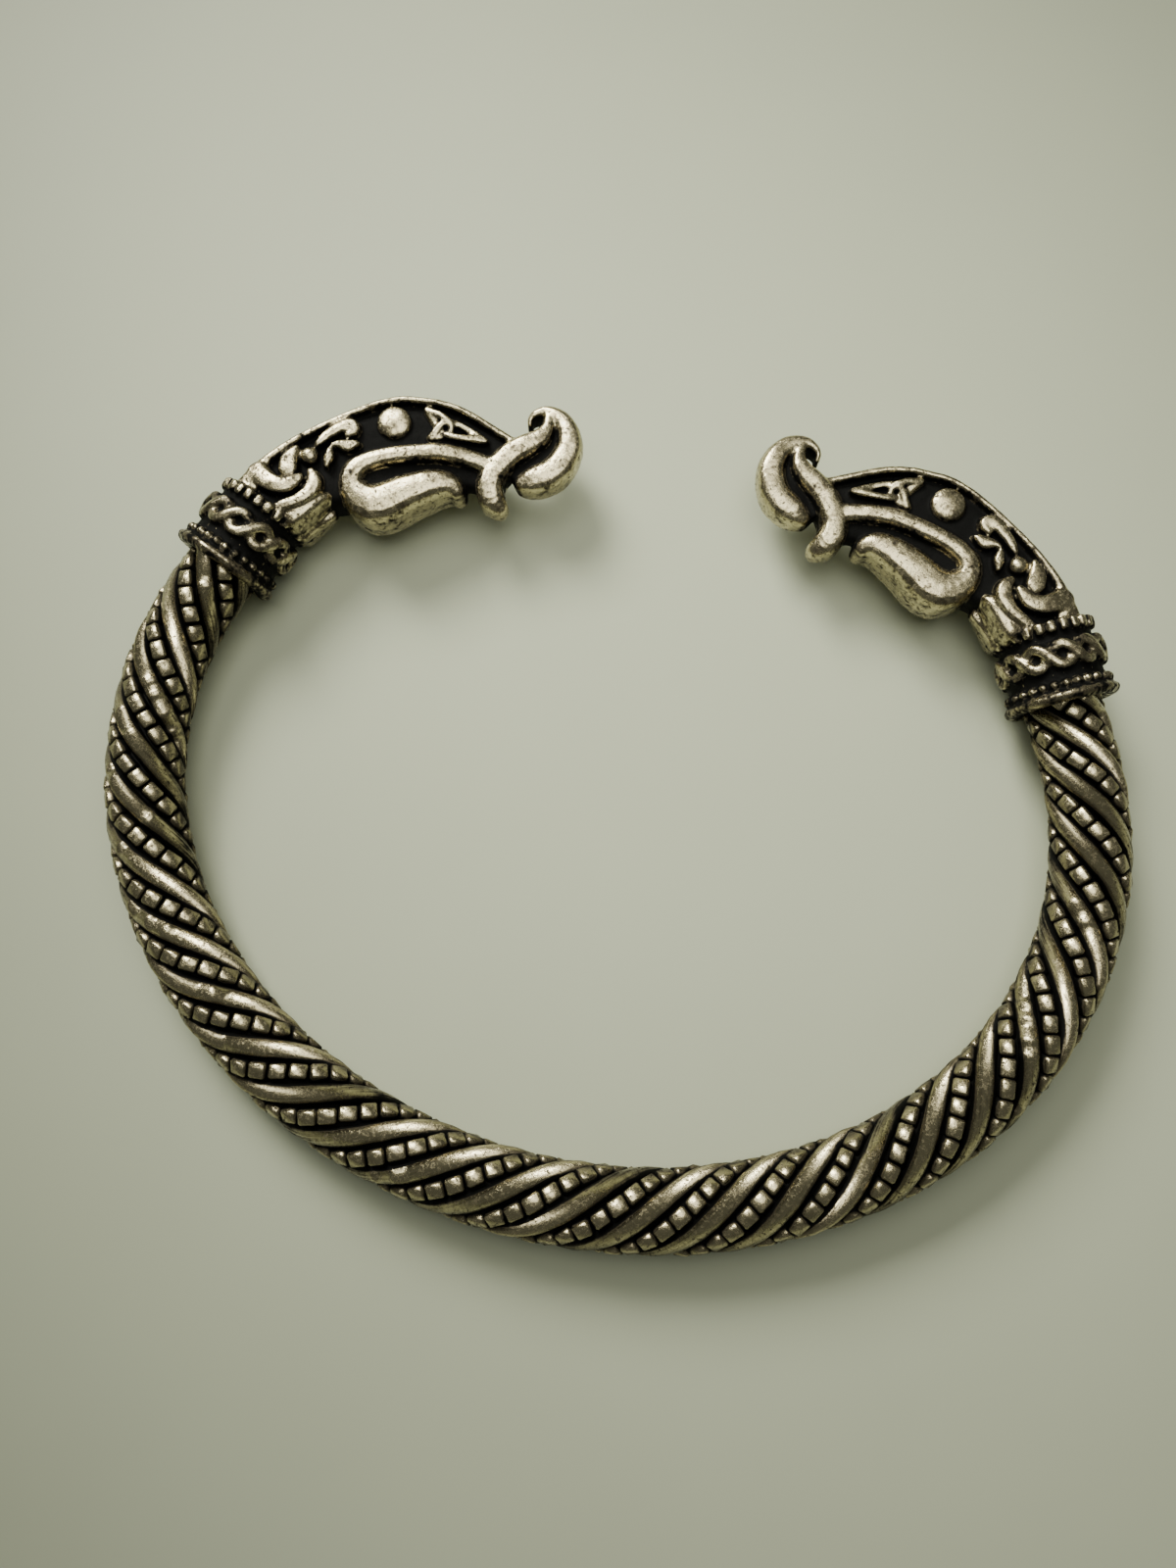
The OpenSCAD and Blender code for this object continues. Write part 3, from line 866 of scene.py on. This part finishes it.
# Shade of the floor's darker spots
FLOOR_SHADE = 0.94


def srgb(text):
    """Linear colour of an sRGB hex value"""
    values = [int(text[i:i + 2], 16) / 255 for i in (1, 3, 5)]
    linear = [v / 12.92 if v <= 0.04045 else ((v + 0.055) / 1.055) ** 2.4 for v in values]
    return (*linear, 1.0)


def add_node(tree, kind, settings=None, **links):
    """Adds a node, sets its settings and links its inputs"""
    node = tree.nodes.new(kind)
    for key, value in (settings or {}).items():
        if isinstance(key, str) and hasattr(node, key):
            setattr(node, key, value)
        else:
            node.inputs[key].default_value = value
    for key, source in links.items():
        index = int(key[1:]) if key[0] == "i" and key[1:].isdigit() else key
        tree.links.new(source, node.inputs[index])
    return node


def blank_material(name):
    """New material and its empty node tree"""
    material = bpy.data.materials.new(name)
    material.use_nodes = True
    material.node_tree.nodes.clear()
    return material, material.node_tree


def add_attribute(tree, name):
    """Value that the mesh keeps under a name"""
    return add_node(tree, "ShaderNodeAttribute", {"attribute_name": name}).outputs["Fac"]


def add_noise(tree, place, scale, detail, roughness):
    """Value of a noise pattern at a place"""
    settings = {"Scale": scale, "Detail": detail, "Roughness": roughness}
    return add_node(tree, "ShaderNodeTexNoise", settings, Vector=place).outputs["Fac"]


def add_weighed(tree, level, pattern, gain):
    """A level with a pattern added to it, by the pattern's gain and offset"""
    settings = {"operation": "MULTIPLY_ADD", 1: gain[0], 2: gain[1]}
    part = add_node(tree, "ShaderNodeMath", settings, i0=pattern).outputs[0]
    return add_node(tree, "ShaderNodeMath", {"operation": "ADD"}, i0=level, i1=part).outputs[0]


def add_times(tree, source, factor, rest):
    """A value times a factor, plus another value"""
    settings = {"operation": "MULTIPLY_ADD", 1: factor}
    return add_node(tree, "ShaderNodeMath", settings, i0=source, i2=rest).outputs[0]


def add_step(tree, source, band, ends=(0.0, 1.0)):
    """Soft step from the first end to the second, over a band of values"""
    settings = {
        "interpolation_type": "SMOOTHSTEP", 1: band[0], 2: band[1], 3: ends[0], 4: ends[1]
    }
    return add_node(tree, "ShaderNodeMapRange", settings, Value=source).outputs[0]


def cast_silver(colours, name):
    """Antiqued silver plate on cast zinc alloy. What the eye gets from the real one: black
    sulphide patina left in the recesses, high places rubbed bright and slightly yellow,
    lines brushed along the strands, and fine casting pits that hold the black. On the hoop the
    patina value also carries painted shade that darkens the flanks of the strands."""
    material, tree = blank_material(name)
    place = add_node(tree, "ShaderNodeTexCoord").outputs["Object"]
    # 1 unit of each pattern is 1 mm
    settings = {"Scale": (1000, 1000, 1000)}
    scale = add_node(tree, "ShaderNodeMapping", settings, Vector=place).outputs[0]
    # patina of the hollows, and on the hoop painted shade on the flanks of the strands
    patina_and_shade = add_attribute(tree, "patina_and_shade")
    # brushed lines along the strands, 0.15 mm wide and 4 mm long
    side = add_attribute(tree, "across")
    run = add_attribute(tree, "along")
    lane = add_node(tree, "ShaderNodeCombineXYZ", {}, X=side, Y=run).outputs[0]
    settings = {"Scale": (5.0, 0.25, 1.0)}
    lane = add_node(tree, "ShaderNodeMapping", settings, Vector=lane).outputs[0]
    brushed = add_noise(tree, lane, 1.0, 4.0, 0.6)
    # blotches of patina, about 1.4 mm
    blotch = add_noise(tree, scale, 0.7, 3.0, 0.6)
    # grain of the rubbed finish, about 0.17 mm
    grain = add_noise(tree, scale, 6.0, 4.0, 0.65)
    # casting pits, 0.1 to 0.3 mm across
    pits = add_noise(tree, scale, 3.2, 5.0, 0.75)
    level = add_weighed(tree, patina_and_shade, grain, GRAIN_GAIN)
    level = add_weighed(tree, level, blotch, BLOTCH_GAIN)
    level = add_weighed(tree, level, brushed, BRUSHED_GAIN)
    black = add_step(tree, level, BLACK_BAND)
    pit = add_step(tree, pits, PIT_BAND, (PIT_BLACK, 0.0))
    settings = {"operation": "MAXIMUM"}
    dark = add_node(tree, "ShaderNodeMath", settings, i0=black, i1=pit).outputs[0]
    warm = add_step(tree, level, TARNISH_BAND)
    settings = {"data_type": "RGBA", 6: srgb(colours.silver), 7: srgb(colours.tarnish)}
    tone = add_node(tree, "ShaderNodeMix", settings, i0=warm)
    settings = {"data_type": "RGBA", 7: srgb(colours.patina)}
    colour = add_node(tree, "ShaderNodeMix", settings, i0=dark, i6=tone.outputs[2])
    metal = add_node(tree, "ShaderNodeMapRange", {3: 1.0, 4: 0.0}, Value=dark)
    settings = {3: SILVER_ROUGH[0], 4: SILVER_ROUGH[1]}
    shine = add_node(tree, "ShaderNodeMapRange", settings, Value=grain)
    settings = {"data_type": "FLOAT", 3: PATINA_ROUGH}
    rough = add_node(tree, "ShaderNodeMix", settings, i0=dark, i2=shine.outputs[0])
    height = add_times(tree, pit, PIT_DEPTH, grain)
    height = add_times(tree, brushed, BRUSHED_RISE, height)
    settings = {"Strength": BUMP, "Distance": BUMP_DEPTH}
    bump = add_node(tree, "ShaderNodeBump", settings, Height=height)
    shader = add_node(
        tree, "ShaderNodeBsdfPrincipled", {"Specular IOR Level": 0.1}, **{
            "Base Color": colour.outputs[2], "Metallic": metal.outputs[0],
            "Roughness": rough.outputs[0], "Normal": bump.outputs[0],
        }
    )
    add_node(tree, "ShaderNodeOutputMaterial", {}, Surface=shader.outputs[0])
    return material


def painted_floor(colours):
    """Matt painted board. The eye gets a pale grey-green with the faintest mottle."""
    material, tree = blank_material("matt_painted_board")
    place = add_node(tree, "ShaderNodeTexCoord").outputs["Object"]
    # mottle, about 17 mm
    mottle = add_noise(tree, place, 60.0, 3.0, 0.5)
    base = srgb(colours.floor)
    deep = tuple(v * FLOOR_SHADE for v in base[:3]) + (1.0,)
    settings = {"data_type": "RGBA", 6: deep, 7: base}
    colour = add_node(tree, "ShaderNodeMix", settings, i0=mottle).outputs[2]
    shader = add_node(
        tree, "ShaderNodeBsdfPrincipled", {"Roughness": 0.6}, **{"Base Color": colour}
    )
    add_node(tree, "ShaderNodeOutputMaterial", {}, Surface=shader.outputs[0])
    return material


def silver():
    """The silver that all pieces share"""
    name = "antiqued_silver_cast"
    found = bpy.data.materials.get(name)
    return found or cast_silver(bpy.context.scene.ring_colours, name)


def course_now():
    """The ring's course by the sizes of the scene"""
    return Course(bpy.context.scene.ring_sizes, bpy.context.scene.ring_heads)


# Hoop, in millimetres: how far its core and its strands go on behind the lip's edge, depth of
# the core under the strands, and its steps
CORE_OVER = 0.3
STRAND_OVER = 0.2
CORE_SINK = 0.85
CORE_STEPS = 180
# Plain strand: where it lies in the room of one pair of strands, depth of its middle, half width,
# half thickness, length of a step and squareness
PLAIN_AT = 0.27
PLAIN_SINK = 0.64
PLAIN_HALF_W = 0.77
PLAIN_HALF_T = 0.64
PLAIN_STEP = 0.42
PLAIN_POWER = 2.1
# Beaded strand: where it lies, how far it goes on behind the left lip, its stagger to the next in
# shares of the pitch, a bead's depth, width and height, its length in shares of the pitch, its
# bevel, and the length over which its speed along the hoop is measured
BEADED_AT = 0.77
BEAD_OVER = 0.1
BEAD_STAGGER = 0.4
BEAD_SINK = 0.62
BEAD_W = 1.18
BEAD_T = 1.14
BEAD_LEN = 0.87
BEAD_BEVEL = 0.17
BEAD_PROBE = 0.1
# How far the beads stray: depth, shares of length and width, and turn in degrees
STRAY_SINK = 0.05
STRAY_LEN = 0.07
STRAY_W = 0.06
STRAY_TURN = 5


def strand_places(course, phase):
    """Places of a plain strand's section, from lip to lip"""
    low = -course.halves[LEFT] - STRAND_OVER
    high = course.halves[RIGHT] + STRAND_OVER
    count = int((high - low) / PLAIN_STEP)
    places = []
    for i in range(count + 1):
        d = low + (high - low) * i / count
        size = course.radius(d) / course.back_r
        point, along, out = course.on_strand(d, phase, PLAIN_SINK * size)
        half_w = PLAIN_HALF_W * size
        places.append(frame_at(point, along.cross(out), along, out, half_w, PLAIN_HALF_T * size))
    return places


def make_core(course):
    """Round core that the strands lie on"""
    bm = bmesh.new()
    low = -course.halves[LEFT] - CORE_OVER
    high = course.halves[RIGHT] + CORE_OVER
    places = []
    for i in range(CORE_STEPS + 1):
        d = low + (high - low) * i / CORE_STEPS
        point, way = course.at(d)
        r = course.radius(d) - CORE_SINK
        places.append(frame_at(point, Vector((way.y, -way.x, 0)), way, UP, r, r))
    sweep(bm, places, sides=20)
    return mesh_of(bm, "hoop_core")


def make_strands(course, strands):
    """The plain strands"""
    bm = bmesh.new()
    for k in range(strands):
        phase = 360 / strands * (k + PLAIN_AT)
        sweep(bm, strand_places(course, phase), sides=14, power=PLAIN_POWER)
    return mesh_of(bm, "plain_strands")


def make_beads(course, strands, pitch):
    """The beaded strands, bead by bead"""
    bm = bmesh.new()
    rng = random.Random(3)
    for k in range(strands):
        phase = 360 / strands * (k + BEADED_AT)
        d = -course.halves[LEFT] - BEAD_OVER + pitch * BEAD_STAGGER * k / strands
        while d < course.halves[RIGHT]:
            size = course.radius(d) / course.back_r
            sink = (BEAD_SINK + STRAY_SINK * rng.uniform(-1, 1)) * size
            point, along, out = course.on_strand(d, phase, sink)
            long = BEAD_LEN * pitch * (1 + STRAY_LEN * rng.uniform(-1, 1))
            wide = BEAD_W * (1 + STRAY_W * rng.uniform(-1, 1)) * size
            place = frame_at(point, along.cross(out), along, out, wide, BEAD_T * size)
            turn = math.radians(STRAY_TURN * rng.uniform(-1, 1))
            place = place @ Matrix.Rotation(turn, 4, "Z")
            bmesh.ops.create_cube(bm, size=1, matrix=place @ Matrix.Diagonal((1, long, 1, 1)))
            here = course.on_strand(d, phase, 0)[0]
            ahead = course.on_strand(d + BEAD_PROBE, phase, 0)[0]
            d += BEAD_PROBE * pitch / (ahead - here).length
    bmesh.ops.bevel(
        bm, geom=bm.edges[:], offset=BEAD_BEVEL, segments=1, profile=0.5, affect="EDGES",
        material=-1,
    )
    return mesh_of(bm, "beaded_strands")


def tree_of(meshes):
    """Ray tree over several meshes at once"""
    verts = []
    faces = []
    for mesh in meshes:
        base = len(verts)
        verts.extend(v.co.copy() for v in mesh.vertices)
        faces.extend([base + i for i in p.vertices] for p in mesh.polygons)
    return BVHTree.FromPolygons(verts, faces)


# Unevenness of the surfaces: height in millimetres, and waves in a millimetre
HOOP_WAVE = (0.03, 0.9)
HEAD_WAVE = (0.035, 1.1)
# Reach of the rays that find what is sheltered
HOOP_REACH = 1.3
HEAD_REACH = 1.4
# Patina of the hoop: depth under its outline where it begins, depth that it takes to be full;
# and painted shade: what a place on the side gets more than one on top, and the power of its
# steepness
LOW_FROM = 0.08
LOW_DEPTH = 0.52
SIDE_SHADE = 0.46
SIDE_SHADE_POWER = 1.3
# Patina of the heads: height off the relief where the ground begins, height that it takes, and
# its level
GROUND_FROM = 0.02
GROUND_DEPTH = 0.10
GROUND_DULL = 0.9
# Level on the relief: everywhere, on steep places, there by their shelter, and how much less
# shelter counts on flat ones
DULL = 0.09
STEEP_DULL = 0.08
STEEP_SHELTER = 1.1
SHELTER_LESS = 0.3
# Wear by chance: level and waves in a millimetre
WEAR = ((0.30, 1.2), (0.28, 4.0))
# What the collar gets more, what its lip gets instead, and the lip's share of its length
COLLAR_DULL = 0.10
LIP_DULL = 0.26
LIP_END = 0.28


def hoop_patina_and_shade(mesh, course, tree):
    """Patina of each point of a mesh of the hoop, with painted shade on the flanks of the strands,
    from 0 to 1
    """
    points = [v.co for v in mesh.vertices]
    normals = [v.normal for v in mesh.vertices]
    out = []
    for p, n, shut in zip(points, normals, shelter(points, normals, tree, HOOP_REACH)):
        low = (course.depth(p) - LOW_FROM) / LOW_DEPTH
        # painted shade: the flanks of the strands darker than their tops, as if the light fell
        # only from above
        dull_and_shade = SIDE_SHADE * (1 - abs(n.z)) ** SIDE_SHADE_POWER
        out.append(min(max(shut, low) + dull_and_shade, 1))
    return out


def head_recess(skin, bright, length):
    """Patina of each point of a head's skin, by its height off the bright relief"""
    points = [v.co for v in skin.verts]
    normals = [v.normal for v in skin.verts]
    out = []
    shelters = shelter(points, normals, BVHTree.FromBMesh(skin), HEAD_REACH)
    for p, n, shut in zip(points, normals, shelters):
        spot, away, _, far = bright.find_nearest(p)
        far = math.copysign(far, (p - spot).dot(away))
        ground = min(max((far - GROUND_FROM) / GROUND_DEPTH, 0), 1)
        steep = 1 - abs(n.z)
        dull_and_shade = DULL + steep * (STEEP_DULL + STEEP_SHELTER * shut) - SHELTER_LESS * shut
        dull_and_shade += sum(level * noise.noise(p * waves) for level, waves in WEAR)
        if p.x < length:
            dull_and_shade += LIP_DULL if p.x < LIP_END * length else COLLAR_DULL
        out.append(min(max(shut + dull_and_shade, GROUND_DULL * ground), 1))
    return out


class RING_OT_hoop(bpy.types.Operator):
    """Winds the plain and beaded strands round the hoop's core"""

    bl_idname = "ring.hoop"
    bl_label = "Hoop"

    def execute(self, context):
        sizes = context.scene.ring_sizes
        course = course_now()
        meshes = [
            make_core(course),
            make_strands(course, sizes.strands),
            make_beads(course, sizes.strands, mm(sizes.bead_pitch)),
        ]
        tree = tree_of(meshes)
        height, waves = HOOP_WAVE
        for mesh in meshes:
            for v in mesh.vertices:
                v.co += v.normal * height * noise.noise(v.co * waves)
            store(mesh, "patina_and_shade", hoop_patina_and_shade(mesh, course, tree))
            mesh.transform(Matrix.Scale(MM, 4) @ course.place)
            add_piece(mesh, silver(), ["hoop"])
        return {"FINISHED"}


class RING_OT_heads(bpy.types.Operator):
    """Casts the two collars with their beast's heads"""

    bl_idname = "ring.heads"
    bl_label = "Heads"

    def execute(self, context):
        collar = context.scene.ring_heads
        course = course_now()
        relief = bmesh.new()
        add_relief(relief, course, collar)
        add_collar_relief(relief, course, collar)
        bmesh.ops.recalc_face_normals(relief, faces=relief.faces[:])
        bright = BVHTree.FromBMesh(relief)
        add_ground(relief, course, collar)
        bmesh.ops.recalc_face_normals(relief, faces=relief.faces[:])
        skin = cast(relief, mm(collar.voxel), "head")
        relief.free()
        height, waves = HEAD_WAVE
        for v in skin.verts:
            v.co += v.normal * height * noise.noise(v.co * waves)
        skin.normal_update()
        skin.verts.ensure_lookup_table()
        values = head_recess(skin, bright, mm(collar.collar_len))
        for side, node in ((LEFT, "left_head"), (RIGHT, "right_head")):
            mesh = bpy.data.meshes.new(node + "_casting")
            skin.to_mesh(mesh)
            mesh.transform(Matrix.Scale(MM, 4) @ course.place @ course.end_frame(side))
            if side == RIGHT:
                mesh.flip_normals()
            store(mesh, "patina_and_shade", values)
            add_piece(mesh, silver(), [node])
        skin.free()
        return {"FINISHED"}


# Camera in the ring's own plane: where it stands in millimetres, the way it looks, what is up,
# and its lens and film in millimetres
EYE_POINT = (2.246, -10.334, 87.397)
LOOK = (-0.0488, 0.1226, -0.9913)
UPWARD = (-0.2264, 0.9653, 0.1305)
LENS = 25.99
FILM = 36
# Nearest thing that it shows, and half the floor's width, in metres
NEAR = 0.005
FLOOR_HALF = 0.6
ROOM_COLOUR = "#C9CCC2"
ROOM_STRENGTH = 0.18
LIGHT_COLOUR = "#FFFEF2"
# Lights: name, place, what it points at, length of a side in metres, watts, spread in degrees
LIGHTS = (
    ("ceiling", (0, 0.035, 0.125), (0, 0.035, 0), 0.10, 0.042, 104),
    ("window", (-0.13, 0.16, 0.175), (0.01, 0.005, 0), 0.12, 0.096, 46),
)


def add_camera(course):
    """Camera where the photo was taken from"""
    camera = bpy.data.cameras.new("camera")
    camera.lens = LENS
    camera.sensor_width = FILM
    camera.clip_start = NEAR
    obj = add_object("camera", camera)
    back = -Vector(LOOK).normalized()
    right = Vector(UPWARD).cross(back).normalized()
    up = back.cross(right)
    turn = Matrix((right, up, back)).transposed().to_4x4()
    stand = course.place @ Matrix.Translation(EYE_POINT) @ turn
    stand.translation *= MM
    obj.matrix_world = stand
    bpy.context.scene.camera = obj


def add_light(name, spot, aim, side, power, spread):
    """Square light that points at a place"""
    light = bpy.data.lights.new(name, "AREA")
    light.shape = "SQUARE"
    light.size = side
    light.energy = power
    light.color = srgb(LIGHT_COLOUR)[:3]
    light.spread = math.radians(spread)
    obj = add_object(name, light)
    obj.location = spot
    obj.rotation_euler = (Vector(aim) - Vector(spot)).to_track_quat("-Z", "Y").to_euler()


class RING_OT_stage(bpy.types.Operator):
    """Sets the pale floor, the soft light and the camera"""

    bl_idname = "ring.stage"
    bl_label = "Stage"

    def execute(self, context):
        bm = bmesh.new()
        bmesh.ops.create_grid(bm, x_segments=2, y_segments=2, size=FLOOR_HALF)
        floor = bpy.data.meshes.new("floor")
        bm.to_mesh(floor)
        bm.free()
        floor.materials.append(painted_floor(context.scene.ring_colours))
        obj = add_object("floor", floor)
        add_camera(course_now())
        world = bpy.data.worlds.new("room")
        context.scene.world = world
        world.use_nodes = True
        room = world.node_tree.nodes["Background"].inputs
        room["Color"].default_value = srgb(ROOM_COLOUR)
        room["Strength"].default_value = ROOM_STRENGTH
        for light in LIGHTS:
            add_light(*light)
        return {"FINISHED"}


class RING_PT_panel(bpy.types.Panel):
    """Lists the ring's sizes, colours and pieces"""

    bl_label = "Arm ring"
    bl_idname = "RING_PT_panel"
    bl_space_type = "VIEW_3D"
    bl_region_type = "UI"
    bl_category = "Arm ring"

    def draw(self, context):
        scene = context.scene
        for group in (scene.ring_sizes, scene.ring_heads, scene.ring_colours):
            box = self.layout.box()
            for name in group.__annotations__:
                box.prop(group, name)
        for operator in (RING_OT_hoop, RING_OT_heads, RING_OT_stage):
            self.layout.operator(operator.bl_idname)


CLASSES = (
    RingSizes, CollarSizes, FinishColours, RING_OT_hoop, RING_OT_heads, RING_OT_stage,
    RING_PT_panel,
)


def register():
    for cls in CLASSES:
        bpy.utils.register_class(cls)
    bpy.types.Scene.ring_sizes = bpy.props.PointerProperty(type=RingSizes)
    bpy.types.Scene.ring_heads = bpy.props.PointerProperty(type=CollarSizes)
    bpy.types.Scene.ring_colours = bpy.props.PointerProperty(type=FinishColours)


def unregister():
    del bpy.types.Scene.ring_colours
    del bpy.types.Scene.ring_heads
    del bpy.types.Scene.ring_sizes
    for cls in reversed(CLASSES):
        bpy.utils.unregister_class(cls)


def main():
    register()
    bpy.ops.ring.stage()
    bpy.ops.ring.hoop()
    bpy.ops.ring.heads()


if __name__ == "__main__":
    main()
